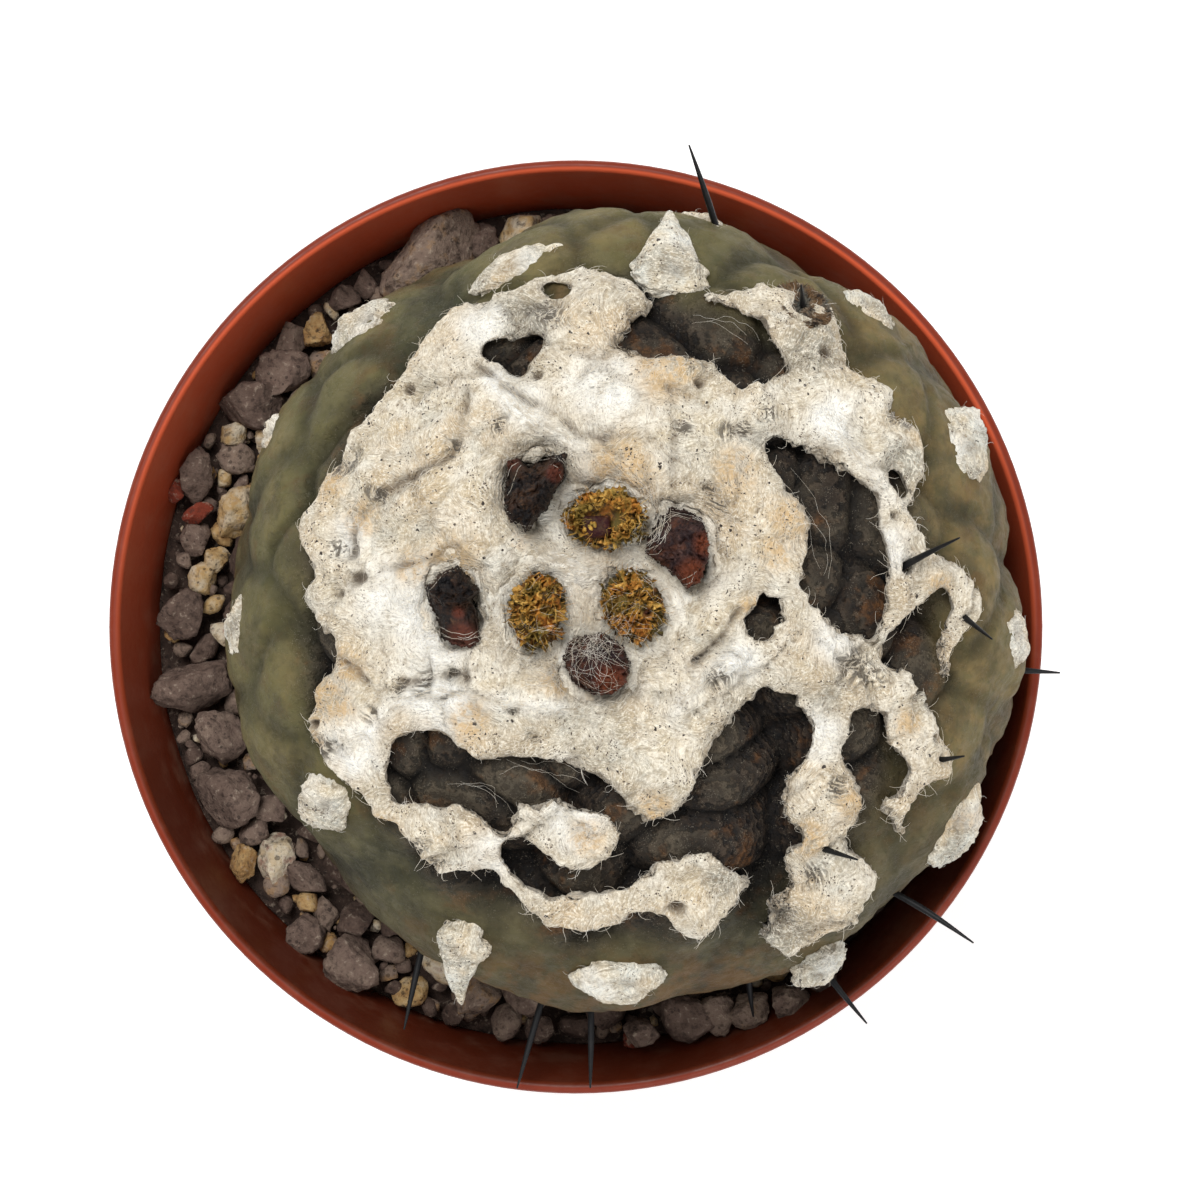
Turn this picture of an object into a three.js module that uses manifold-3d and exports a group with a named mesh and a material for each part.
// A small Copiapoa cactus in a plastic nursery pot, in millimetres, +Z up.
// The origin is the centre of the pot's foot, on the surface it stands on.
// The plant is a flattened globe of low tubercles. Old white wool from its areoles has felted
// over the crown, with holes that show the dark tubercles, and holds seven dried flowers.

import * as THREE from "three";
import { mergeVertices } from "three/addons/utils/BufferGeometryUtils.js";
import Module from "manifold-3d";

const wasm = await Module();
wasm.setup();

// Pot
const RIM_RADIUS = 42.5;
const POT_HEIGHT = 72;
const FOOT_RADIUS = 30;
const WALL = 1.2;
const COLLAR_HEIGHT = 11;
const COLLAR_STEP = 1.3;
const FOOT_HEIGHT = 2.5;
const FOOT_WIDTH = 2.2;
const FLOOR_THICKNESS = 1.6;
const POT_EDGE = 0.5;
const WALL_UNDER_COLLAR = 0.6;
const DRAIN_RADIUS = 3.2;
const DRAIN_CIRCLE = 19;
const DRAINS = 6;
const DRAIN_SIDES = 14;
const POT_SIDES = 48;

// Substrate
const FREEBOARD = 9.5;
const GAP = 0.3;
const STONES = 90;
const STONE_SIZES = [1.4, 3.4];
const STONE_RISE = 0.35;
const STONE_FLATNESS = 0.8;
// Share of the surface's area left bare under the plant
const STONE_FREE_MIDDLE = 0.3;
// Most of its width that a stone loses
const STONE_NARROWING = 0.3;
const STONE_SEED = 7;

// Plant body: its middle and the growing point above it, in plan
const BODY_X = 4.4;
const BODY_Y = 0.7;
const APEX_X = 1.4;
const APEX_Y = 4.1;
const BODY_RADIUS = 33.1;
const BODY_OVAL = -0.015;
const BODY_EQUATOR = 75;
const CROWN_RISE = 18;
const UNDERSIDE_DROP = 17;
const SQUARENESS = 0.83;
const TUBERCLE_RISE = 2.6;
const TUBERCLE_SPREAD = 0.6;
const CREASE_REACH = 1.15;
const LEAST_PITCH = 4;
const TUBERCLES_END = [105, 130];
const BODY_DETAIL = 10;
const BODY_DETAIL_COARSE = 7;

// Thirteen ribs: bearing of the lowest areole seen from above, its angle from the apex,
// and the size of its wool tuft across and along the rib
const RIBS = [
  { turn: -3.5, level: 78, tuft: [6.3, 4.8] },
  { turn: 27.5, level: 75, tuft: [6.2, 7.6] },
  { turn: 50, level: 78, tuft: [5.4, 3.6] },
  { turn: 79.5, level: 82, tuft: [5.0, 3.8] },
  { turn: 106, level: 61, tuft: [7.0, 4.4] },
  { turn: 131.5, level: 80, tuft: [5.8, 4.4] },
  { turn: 151.5, level: 86, tuft: [4.6, 4.0] },
  { turn: 182, level: 77, tuft: [6.0, 3.8] },
  { turn: 212, level: 59, tuft: [5.0, 5.4] },
  { turn: 244, level: 65, tuft: [4.6, 6.0] },
  { turn: 269.5, level: 63.5, tuft: [7.0, 4.2] },
  { turn: 299.5, level: 84, tuft: [5.6, 4.4] },
  { turn: 328, level: 81, tuft: [8.4, 5.6] },
];
const ROWS_BELOW = 2;
const ROWS_ABOVE = 6;
const ROW_RATIO = 0.76;
const RIB_TWIST = 10;
const TUFT_THICKNESS = 1.7;
const TUFT_LUMPS = 0.16;
const TUFT_LUMP_SPACING = 0.45;
const TUFT_SIDES = 8;
const TUFT_RINGS = 5;
// One more tuft stands free of the felt, in the second row
const UPPER_TUFT = { turn: 82, level: 56.5, tuft: [7.6, 5] };
const UPPER_TUFT_SEED = 61;

// Taproot under the body
const ROOT_TOP = 61;
const ROOT_TIP = 26;
const ROOT_RADIUS = 13;
const ROOT_TIP_RADIUS = 2.5;
const ROOT_WAIST = 0.55;
const ROOT_SIDES = 12;

// Spines: bearing and level of the areole, bearing and rise of the spine, length
const SPINES = [
  { turn: 72.6, level: 82, lean: 109.4, rise: 30, length: 9.5 },
  { turn: 2.9, level: 38, lean: 31.3, rise: 42, length: 8.3 },
  { turn: 6.7, level: 54.8, lean: -45.7, rise: 48, length: 6.8 },
  { turn: -8.4, level: 90, lean: -1.7, rise: 5, length: 4.3 },
  { turn: -28.3, level: 55.5, lean: 7.5, rise: 50, length: 4.6 },
  { turn: 305.7, level: 42.6, lean: -18.1, rise: 42, length: 5.6 },
  { turn: 313, level: 86, lean: -30.8, rise: 12, length: 7.2 },
  { turn: 298.8, level: 90, lean: -52.5, rise: 5, length: 6.5 },
  { turn: 264.5, level: 90, lean: 270, rise: 4, length: 6.1 },
  { turn: 258.2, level: 93, lean: 254, rise: 4, length: 7.3 },
  { turn: 236.4, level: 95, lean: 257.6, rise: 6, length: 6.8 },
  { turn: 55.6, level: 60.5, lean: 101, rise: 60, length: 5.3 },
  { turn: 290.6, level: 95, lean: 275.4, rise: -30, length: 3.5 },
];
const SPINE_RADIUS = 0.34;
const SPINE_TIP_RADIUS = 0.12;
const SPINE_SIDES = 5;
const SPINE_SUNK = 1.5;

// Crown felt: its edge in plan, clockwise from the back, and its closed holes
const FELT_THICKNESS = 1.5;
const FELT_LUMPS = 0.55;
const FELT_LUMP_SPACING = 2.6;
const FELT_LOWEST = 0.5;
const FELT_CUT_HEIGHT = 40;
const FELT_EDGE = [
  [-0.7, 30.8], [0.7, 31.4], [2.7, 30.7], [5.3, 29.7], [6.8, 28.1], [6.3, 26.7], [4.8, 26.4],
  [4.1, 24.4], [5.6, 23.4], [9.3, 23.3], [11.8, 22.7], [12.9, 21.4], [14.2, 20.7], [16.1, 21.2],
  [18.2, 22.2], [17.3, 24.1], [15.6, 26.4], [14.1, 27.4], [11.8, 27.9], [10.8, 28.6],
  [12.5, 29.0], [14.4, 29.1], [16.0, 29.9], [17.2, 29.1], [19.4, 29.2], [22.0, 28.5],
  [22.7, 26.4], [23.2, 24.0], [23.8, 22.0], [26.3, 21.1], [27.7, 20.3], [27.8, 19.0],
  [29.2, 18.1], [29.9, 16.2], [29.8, 12.9], [29.0, 10.6], [28.3, 10.4], [29.2, 8.6],
  [30.4, 6.9], [31.8, 6.1], [33.7, 4.9], [35.2, 2.6], [34.7, 0.9], [33.3, -0.5], [32.3, -2.0],
  [31.8, -4.6], [31.1, -3.1], [30.8, -1.3], [31.8, 0.2], [32.3, 1.9], [31.8, 3.5], [30.9, 3.1],
  [29.9, 2.1], [28.3, 0.9], [27.1, -0.5], [26.3, -2.0], [26.8, -3.4], [28.2, -3.1],
  [29.2, -4.4], [30.1, -5.8], [30.9, -7.2], [31.4, -8.9], [32.8, -10.6], [32.3, -12.5],
  [30.4, -13.5], [28.7, -14.9], [28.3, -16.5], [28.9, -17.8], [27.7, -18.0], [26.8, -16.3],
  [26.5, -14.8], [28.0, -13.9], [28.7, -12.2], [28.0, -11.0], [26.6, -9.9], [26.3, -8.0],
  [25.2, -6.8], [23.9, -7.4], [23.4, -9.4], [22.8, -10.8], [23.9, -12.5], [24.7, -14.4],
  [24.6, -16.0], [23.5, -17.3], [23.3, -18.7], [24.9, -19.6], [26.5, -21.3], [25.6, -23.0],
  [24.4, -25.2], [22.2, -25.9], [19.9, -27.1], [18.5, -28.3], [16.6, -27.5], [15.8, -26.4],
  [16.8, -25.2], [16.6, -23.5], [18.5, -22.1], [18.2, -20.9], [17.7, -19.7], [18.5, -18.5],
  [19.9, -18.0], [18.2, -16.6], [17.6, -14.8], [17.9, -12.7], [19.4, -11.1], [20.1, -9.2],
  [19.7, -7.2], [18.2, -5.6], [16.1, -5.1], [14.6, -6.7], [12.7, -8.4], [11.1, -11.0],
  [10.5, -13.2], [9.3, -15.3], [7.0, -16.5], [4.8, -15.8], [3.4, -13.7], [0.8, -11.7],
  [-1.9, -11.1], [-4.7, -11.0], [-8.1, -11.3], [-10.0, -9.9], [-11.6, -8.7], [-13.3, -8.9],
  [-15.2, -9.4], [-15.8, -12.2], [-15.2, -14.6], [-12.9, -14.7], [-11.0, -14.9], [-10.0, -14.4],
  [-7.9, -15.8], [-6.4, -17.2], [-5.4, -17.3], [-5.4, -15.8], [-4.3, -14.8], [-1.9, -14.2],
  [0.5, -15.1], [3.1, -15.6], [4.4, -17.3], [3.2, -19.6], [1.2, -20.6], [-1.1, -20.3],
  [-3.0, -18.7], [-4.9, -18.0], [-5.9, -18.2], [-6.2, -19.2], [-5.4, -20.4], [-4.0, -21.8],
  [-1.6, -22.7], [1.3, -22.3], [4.6, -22.0], [5.6, -20.9], [7.0, -20.1], [9.9, -18.9],
  [11.5, -18.7], [13.4, -20.3], [15.3, -21.6], [14.1, -23.4], [12.0, -25.8], [10.8, -26.8],
  [9.3, -26.5], [7.4, -24.7], [5.6, -24.4], [3.7, -25.4], [0.8, -25.7], [-2.3, -25.5],
  [-4.0, -24.2], [-5.2, -22.7], [-6.2, -21.8], [-6.6, -21.0], [-8.1, -20.9], [-10.2, -20.9],
  [-12.1, -21.1], [-12.9, -19.9], [-14.0, -18.2], [-15.3, -16.8], [-16.9, -16.1], [-17.6, -14.6],
  [-19.3, -13.4], [-20.5, -12.2], [-22.2, -10.6], [-22.7, -8.7], [-22.4, -6.5], [-22.1, -4.6],
  [-20.8, -3.4], [-20.5, -1.9], [-20.7, -0.6], [-21.9, 0.0], [-22.9, 1.9], [-22.9, 3.3],
  [-21.9, 4.5], [-23.3, 6.6], [-23.8, 8.5], [-23.3, 9.8], [-21.9, 11.1], [-21.4, 12.9],
  [-19.6, 15.4], [-19.0, 16.9], [-17.2, 18.6], [-15.3, 20.9], [-13.6, 23.4], [-11.7, 26.2],
  [-10.2, 27.7], [-8.1, 28.3], [-5.5, 28.8], [-2.6, 30.0],
];
const FELT_HOLES = [
  // The small hole near the back
  [
    [-7.9, 23.3], [-7.5, 24.4], [-5.1, 24.6], [-2.6, 25.2], [-3.0, 24.0], [-4.2, 22.6],
    [-4.1, 21.8], [-5.3, 21.6], [-5.9, 22.5],
  ],
  // The cleft behind it, beside the back tuft
  [[-3.0, 29.2], [-1.9, 29.5], [-0.6, 29.4], [-0.3, 28.9], [-1.2, 28.3], [-2.2, 28.6]],
  // The large hole on the right, over two dark tubercles
  [
    [16.2, 16.0], [17.3, 16.1], [20.3, 14.9], [23.7, 12.8], [25.7, 11.3], [25.7, 8.9], [26.5, 6.0],
    [26.4, 2.2], [25.3, -0.8], [22.8, 0.0], [20.0, 1.9], [19.1, 4.0], [20.0, 7.0], [20.1, 9.2],
    [19.3, 10.8], [17.4, 13.0], [16.5, 14.8],
  ],
  // The slit outside it
  [[26.9, 13.4], [27.7, 13.6], [28.4, 11.7], [28.0, 11.3], [27.5, 11.4], [27.0, 12.2]],
  // The small brown hole below the large one
  [[14.6, -0.4], [15.0, 1.6], [16.2, 3.4], [17.2, 2.0], [17.1, 0.0], [16.0, -0.8]],
];

// Dried flowers in the felt: position, size, bearing of the long side, height over the felt
const FLOWERS = [
  { x: 2.6, y: 9.2, across: 7.2, along: 4.9, turn: 0, rise: 0.9, open: true },
  { x: -2.9, y: 1.6, across: 6.8, along: 4.8, turn: 84, rise: 1.0, open: true },
  { x: 4.9, y: 2.0, across: 6.4, along: 5.4, turn: 110, rise: 0.8, open: true },
  { x: -3.1, y: 11.5, across: 6.0, along: 4.6, turn: 70, rise: 1.8, open: false },
  { x: 8.8, y: 6.8, across: 6.4, along: 5.0, turn: 100, rise: 1.4, open: false },
  { x: -9.6, y: 2.0, across: 7.0, along: 4.0, turn: 110, rise: 2.2, open: false },
  { x: 1.9, y: -3.0, across: 5.4, along: 4.6, turn: 20, rise: 1.2, open: false },
];
const FLOWER_SEAT = 1.6;
const FLOWER_FOLDS = 5;
const FLOWER_FOLD_DEPTH = 0.15;
const FLOWER_LUMPS = 0.12;
const FLOWER_LUMP_SPACING = 0.3;
const FLOWER_RINGS = 7;
const FLOWER_CUP_DEPTH = 2.2;
const FLOWER_CUP_EDGE = 0.55;

const MERGE_DISTANCE = 1e-4;

const rad = THREE.MathUtils.degToRad;

// A repeatable random draw, from 0 to 1
function draw(seed) {
  let state = seed;
  return () => {
    state = (state * 1664525 + 1013904223) % 4294967296;
    return state / 4294967296;
  };
}

// A smooth irregular value from -1 to 1 over space
function lumps(x, y, z, scale) {
  const a = Math.sin((x + 0.6 * z) / scale + 1.3) * Math.cos(y / scale - 0.7);
  const b = Math.sin((x - 1.7 * y) / (1.7 * scale) + 2.1);
  const c = Math.cos((z + y + 0.4 * x) / (1.3 * scale));
  return (a + b + c) / 3;
}

function toSolid(geometry) {
  const bare = geometry.clone();
  for (const name of Object.keys(bare.attributes)) {
    if (name !== "position") bare.deleteAttribute(name);
  }
  const closed = mergeVertices(bare, MERGE_DISTANCE);
  return new wasm.Manifold(
    new wasm.Mesh({
      numProp: 3,
      vertProperties: new Float32Array(closed.attributes.position.array),
      triVerts: new Uint32Array(closed.index.array),
    }),
  );
}

function toGeometry(solid) {
  const mesh = solid.getMesh();
  const geometry = new THREE.BufferGeometry();
  geometry.setAttribute("position", new THREE.BufferAttribute(mesh.vertProperties, 3));
  geometry.setIndex(new THREE.BufferAttribute(mesh.triVerts, 1));
  const flat = geometry.toNonIndexed();
  flat.computeVertexNormals();
  return flat;
}

// The largest closed body of a solid, without the scraps a cut leaves
function mainBody(solid) {
  return solid.decompose().reduce((a, b) => (a.volume() > b.volume() ? a : b));
}

function part(name, solid, color, roughness) {
  const material = new THREE.MeshStandardMaterial({ color, roughness, metalness: 0 });
  const mesh = new THREE.Mesh(toGeometry(mainBody(solid)), material);
  mesh.name = name;
  return mesh;
}

// A profile of [radius, height] points turned about Z
function turned(profile, sides) {
  const points = profile.map(([radius, height]) => new THREE.Vector2(radius, height));
  return toSolid(new THREE.LatheGeometry(points, sides).rotateX(Math.PI / 2));
}

// Pot wall: the outside tapers from the collar to the foot
const collarFoot = POT_HEIGHT - COLLAR_HEIGHT;
const wallTopRadius = RIM_RADIUS - COLLAR_STEP - WALL_UNDER_COLLAR;
const innerTopRadius = RIM_RADIUS - WALL;
const innerFloorRadius = FOOT_RADIUS - WALL;
const floorTop = FOOT_HEIGHT + FLOOR_THICKNESS;

function innerRadius(height) {
  const share = (height - floorTop) / (POT_HEIGHT - floorTop);
  return innerFloorRadius + (innerTopRadius - innerFloorRadius) * share;
}

function makePot() {
  const half = POT_EDGE / 2;
  const body = turned(
    [
      [0, FOOT_HEIGHT],
      [FOOT_RADIUS - FOOT_WIDTH, FOOT_HEIGHT],
      [FOOT_RADIUS - FOOT_WIDTH, 0],
      [FOOT_RADIUS - POT_EDGE, 0],
      [FOOT_RADIUS, POT_EDGE],
      [wallTopRadius, collarFoot - POT_EDGE],
      [RIM_RADIUS - WALL_UNDER_COLLAR, collarFoot],
      [RIM_RADIUS, POT_HEIGHT - 2 * POT_EDGE],
      [RIM_RADIUS - half, POT_HEIGHT - half],
      [RIM_RADIUS - POT_EDGE, POT_HEIGHT],
      [innerTopRadius + half, POT_HEIGHT],
      [innerTopRadius, POT_HEIGHT - POT_EDGE],
      [innerFloorRadius, floorTop],
      [0, floorTop],
    ],
    POT_SIDES,
  );
  let pot = body;
  for (let i = 0; i <= DRAINS; i++) {
    const bearing = (i * 2 * Math.PI) / DRAINS;
    const reach = i === DRAINS ? 0 : DRAIN_CIRCLE;
    const hole = new THREE.CylinderGeometry(DRAIN_RADIUS, DRAIN_RADIUS, 2 * floorTop, DRAIN_SIDES);
    hole.rotateX(Math.PI / 2);
    hole.translate(reach * Math.cos(bearing), reach * Math.sin(bearing), floorTop);
    pot = pot.subtract(toSolid(hole));
  }
  return pot;
}

// Plan radius of the body's widest outline, at a bearing
function outline(bearing) {
  return BODY_RADIUS * (1 + BODY_OVAL * Math.cos(2 * bearing));
}

// A point of the body's smooth surface, and the way it faces. level is 0 at the apex,
// a quarter turn at the equator and a half turn under the body.
function bodyPoint(bearing, level) {
  const share = Math.pow(Math.abs(Math.sin(level)), SQUARENESS);
  const height = Math.sign(Math.cos(level)) * Math.pow(Math.abs(Math.cos(level)), SQUARENESS);
  const rise = height > 0 ? CROWN_RISE : UNDERSIDE_DROP;
  const lean = height > 0 ? 1 - share : 0;
  const reach = outline(bearing) * share;
  const point = new THREE.Vector3(
    BODY_X + (APEX_X - BODY_X) * lean + reach * Math.cos(bearing),
    BODY_Y + (APEX_Y - BODY_Y) * lean + reach * Math.sin(bearing),
    BODY_EQUATOR + height * rise,
  );
  const facing = new THREE.Vector3(
    (share * Math.cos(bearing)) / BODY_RADIUS,
    (share * Math.sin(bearing)) / BODY_RADIUS,
    height / rise,
  ).normalize();
  return { point, facing };
}

// Areoles: where each rib's rows cross, twisting a little towards the apex
const AREOLES = RIBS.flatMap((rib) => {
  const rows = [];
  for (let row = -ROWS_BELOW; row <= ROWS_ABOVE; row++) {
    const level = rad(rib.level * Math.pow(ROW_RATIO, row));
    const bearing = rad(rib.turn + RIB_TWIST * row);
    const { point } = bodyPoint(bearing, level);
    const girth = 2 * Math.PI * outline(bearing) * Math.pow(Math.sin(level), SQUARENESS);
    const pitch = Math.max(girth / RIBS.length, LEAST_PITCH);
    rows.push({ point, spread: TUBERCLE_SPREAD * pitch });
  }
  return rows;
});

// How far a tubercle lifts the skin at a point of the smooth surface
function tubercleLift(point, level) {
  let nearest = Infinity;
  for (const areole of AREOLES) {
    nearest = Math.min(nearest, point.distanceTo(areole.point) / areole.spread);
  }
  const fall = Math.min(nearest, CREASE_REACH);
  const [start, end] = TUBERCLES_END;
  const fade = 1 - THREE.MathUtils.smoothstep(level, rad(start), rad(end));
  return TUBERCLE_RISE * fade * (1 - fall * fall);
}

// The body's closed skin, where lift says how far each point stands off the smooth surface
function skin(detail, lift) {
  const geometry = new THREE.IcosahedronGeometry(1, detail);
  const at = geometry.attributes.position;
  const ray = new THREE.Vector3();
  for (let i = 0; i < at.count; i++) {
    ray.fromBufferAttribute(at, i).normalize();
    const bearing = Math.atan2(ray.y, ray.x);
    const level = Math.acos(THREE.MathUtils.clamp(ray.z, -1, 1));
    const { point, facing } = bodyPoint(bearing, level);
    point.addScaledVector(facing, lift(point, level));
    at.setXYZ(i, point.x, point.y, point.z);
  }
  return toSolid(geometry);
}

// A soft irregular lump of wool, sunk by half its thickness, lying on the skin
function tuft(bearing, level, [across, along], clearance, seed) {
  const { point, facing } = bodyPoint(bearing, level);
  const random = draw(seed);
  const shift = random() * 20;
  const blob = new THREE.SphereGeometry(1, TUFT_SIDES, TUFT_RINGS);
  const at = blob.attributes.position;
  const ray = new THREE.Vector3();
  for (let i = 0; i < at.count; i++) {
    ray.fromBufferAttribute(at, i);
    const size = 1 + TUFT_LUMPS * lumps(ray.x + shift, ray.y, ray.z, TUFT_LUMP_SPACING);
    at.setXYZ(
      i,
      ray.x * (size * (across / 2) + clearance),
      ray.y * (size * (along / 2) + clearance),
      ray.z * (size * TUFT_THICKNESS + clearance),
    );
  }
  const sideways = new THREE.Vector3(-Math.sin(bearing), Math.cos(bearing), 0);
  const upRib = new THREE.Vector3().crossVectors(facing, sideways);
  const place = new THREE.Matrix4().makeBasis(sideways, upRib, facing);
  place.setPosition(point.clone().addScaledVector(facing, TUBERCLE_RISE));
  return toSolid(blob.applyMatrix4(place));
}

function spine({ turn, level, lean, rise, length }, clearance) {
  const { point, facing } = bodyPoint(rad(turn), rad(level));
  const way = new THREE.Vector3(
    Math.cos(rad(lean)) * Math.cos(rad(rise)),
    Math.sin(rad(lean)) * Math.cos(rad(rise)),
    Math.sin(rad(rise)),
  );
  const whole = length + TUBERCLE_RISE + SPINE_SUNK;
  const needle = new THREE.CylinderGeometry(
    SPINE_TIP_RADIUS + clearance,
    SPINE_RADIUS + clearance,
    whole + 2 * clearance,
    SPINE_SIDES,
  );
  needle.translate(0, whole / 2, 0);
  const turnUp = new THREE.Quaternion().setFromUnitVectors(new THREE.Vector3(0, 1, 0), way);
  needle.applyQuaternion(turnUp);
  const start = point.clone().addScaledVector(facing, -SPINE_SUNK);
  needle.translate(start.x, start.y, start.z);
  return toSolid(needle);
}

function taproot(clearance) {
  const root = turned(
    [
      [0, ROOT_TIP - clearance],
      [ROOT_TIP_RADIUS + clearance, ROOT_TIP - clearance],
      [ROOT_RADIUS * ROOT_WAIST + clearance, (ROOT_TIP + ROOT_TOP) / 2],
      [ROOT_RADIUS + clearance, ROOT_TOP],
      [0, ROOT_TOP],
    ],
    ROOT_SIDES,
  );
  return root.translate([BODY_X, BODY_Y, 0]);
}

// The whole green plant, or the room it needs when clearance is over 0
function makeStem(clearance) {
  let stem = skin(BODY_DETAIL, (point, level) => tubercleLift(point, level) + clearance);
  stem = stem.add(taproot(clearance));
  RIBS.forEach((rib, i) => {
    stem = stem.add(tuft(rad(rib.turn), rad(rib.level), rib.tuft, clearance, i + 1));
  });
  const { turn, level, tuft: size } = UPPER_TUFT;
  stem = stem.add(tuft(rad(turn), rad(level), size, clearance, UPPER_TUFT_SEED));
  for (const each of SPINES) stem = stem.add(spine(each, clearance));
  return stem;
}

// The plain hollow that the buried part of the body and its taproot lie in
function rootRoom() {
  const hollow = skin(BODY_DETAIL, (point, level) => tubercleLift(point, level) + GAP);
  return hollow.add(taproot(GAP));
}

function makeSubstrate() {
  const top = POT_HEIGHT - FREEBOARD;
  const bottom = floorTop + GAP;
  let fill = turned(
    [
      [0, bottom],
      [innerRadius(bottom) - GAP, bottom],
      [innerRadius(top) - GAP, top],
      [0, top],
    ],
    POT_SIDES,
  );
  const random = draw(STONE_SEED);
  const golden = Math.PI * (3 - Math.sqrt(5));
  const inside = innerRadius(top) - 2 * GAP;
  const [smallest, largest] = STONE_SIZES;
  for (let i = 0; i < STONES; i++) {
    const size = smallest + (largest - smallest) * Math.pow(random(), 2);
    const area = STONE_FREE_MIDDLE + (1 - STONE_FREE_MIDDLE) * ((i + 0.5) / STONES);
    const reach = Math.min(inside - size, inside * Math.sqrt(area));
    const stone = new THREE.IcosahedronGeometry(size, 0);
    stone.rotateX(random() * Math.PI).rotateY(random() * Math.PI);
    stone.scale(1, 1 - STONE_NARROWING * random(), STONE_FLATNESS);
    stone.rotateZ(random() * Math.PI);
    stone.translate(
      reach * Math.cos(i * golden),
      reach * Math.sin(i * golden),
      top + size * STONE_RISE,
    );
    fill = fill.add(toSolid(stone));
  }
  return fill.subtract(rootRoom());
}

// The smooth body's surface over a place in plan, found by halving the range of levels
function crownAt(x, y) {
  const halvings = 30;
  let low = 0;
  let high = Math.PI / 2;
  const bearingAt = (level) => {
    const lean = 1 - Math.pow(Math.sin(level), SQUARENESS);
    const dx = x - BODY_X - (APEX_X - BODY_X) * lean;
    const dy = y - BODY_Y - (APEX_Y - BODY_Y) * lean;
    return { bearing: Math.atan2(dy, dx), reach: Math.hypot(dx, dy) };
  };
  for (let i = 0; i < halvings; i++) {
    const middle = (low + high) / 2;
    const { bearing, reach } = bearingAt(middle);
    if (outline(bearing) * Math.pow(Math.sin(middle), SQUARENESS) < reach) low = middle;
    else high = middle;
  }
  return bodyPoint(bearingAt(low).bearing, low);
}

// An upright block over an outline in plan, from the widest level up past the crown
function prism(edge) {
  const shape = new THREE.Shape(edge.map(([x, y]) => new THREE.Vector2(x, y)));
  const block = new THREE.ExtrudeGeometry(shape, { depth: FELT_CUT_HEIGHT, bevelEnabled: false });
  return toSolid(block.translate(0, 0, BODY_EQUATOR + FELT_LOWEST));
}

function makeFelt(stemRoom, flowerRoom) {
  const crown = skin(BODY_DETAIL_COARSE, (point) => {
    const lump = FELT_LUMPS * lumps(point.x, point.y, point.z, FELT_LUMP_SPACING);
    return TUBERCLE_RISE + FELT_THICKNESS + lump;
  });
  let felt = crown.intersect(prism(FELT_EDGE));
  for (const hole of FELT_HOLES) felt = felt.subtract(prism(hole));
  return felt.subtract(stemRoom).subtract(flowerRoom);
}

// A dried flower: a crumpled cup where open, or else a shrivelled plug
function makeFlower({ x, y, across, along, turn, rise, open }, clearance, seed) {
  const { point, facing } = crownAt(x, y);
  const random = draw(seed);
  const twist = random() * 2 * Math.PI;
  const depth = TUBERCLE_RISE + FELT_THICKNESS + rise;
  const blob = new THREE.SphereGeometry(1, 3 * FLOWER_FOLDS, FLOWER_RINGS);
  const at = blob.attributes.position;
  const ray = new THREE.Vector3();
  for (let i = 0; i < at.count; i++) {
    ray.fromBufferAttribute(at, i);
    const bearing = Math.atan2(ray.y, ray.x);
    const folds = 1 + FLOWER_FOLD_DEPTH * Math.sin(FLOWER_FOLDS * bearing + twist + 2 * ray.z);
    const inCup = open ? Math.max(0, ray.z - FLOWER_CUP_EDGE) : 0;
    const hollow = FLOWER_CUP_DEPTH * inCup * (1 - Math.hypot(ray.x, ray.y));
    const lump = FLOWER_LUMPS * lumps(ray.x, ray.y + twist, ray.z, FLOWER_LUMP_SPACING);
    at.setXYZ(
      i,
      ray.x * ((folds * across) / 2 + clearance),
      ray.y * ((folds * along) / 2 + clearance),
      (ray.z - hollow + lump) * (depth / 2 + clearance),
    );
  }
  blob.rotateZ(rad(turn));
  const turnUp = new THREE.Quaternion().setFromUnitVectors(new THREE.Vector3(0, 0, 1), facing);
  blob.applyQuaternion(turnUp);
  const middle = point.clone().addScaledVector(facing, depth / 2 + FLOWER_SEAT);
  blob.translate(middle.x, middle.y, middle.z);
  return toSolid(blob);
}

const plant = new THREE.Group();

const stemRoom = makeStem(GAP);
const flowers = FLOWERS.map((flower, i) => makeFlower(flower, 0, i + 1));
const flowerRooms = FLOWERS.map((flower, i) => makeFlower(flower, GAP, i + 1));
const flowerRoom = flowerRooms.reduce((a, b) => a.add(b));

plant.add(part("pot", makePot(), 0x8f3a20, 0.42));
plant.add(part("substrate", makeSubstrate(), 0x75675f, 0.95));
plant.add(part("stem", makeStem(0), 0x6c6b50, 0.7));
plant.add(part("crown_wool", makeFelt(stemRoom, flowerRoom), 0xe2d9c8, 1));
flowers.forEach((flower, i) => {
  const color = FLOWERS[i].open ? 0x9a6a1c : 0x35211a;
  plant.add(part(`dried_flower_${i + 1}`, flower.subtract(stemRoom), color, 0.9));
});

export default plant;
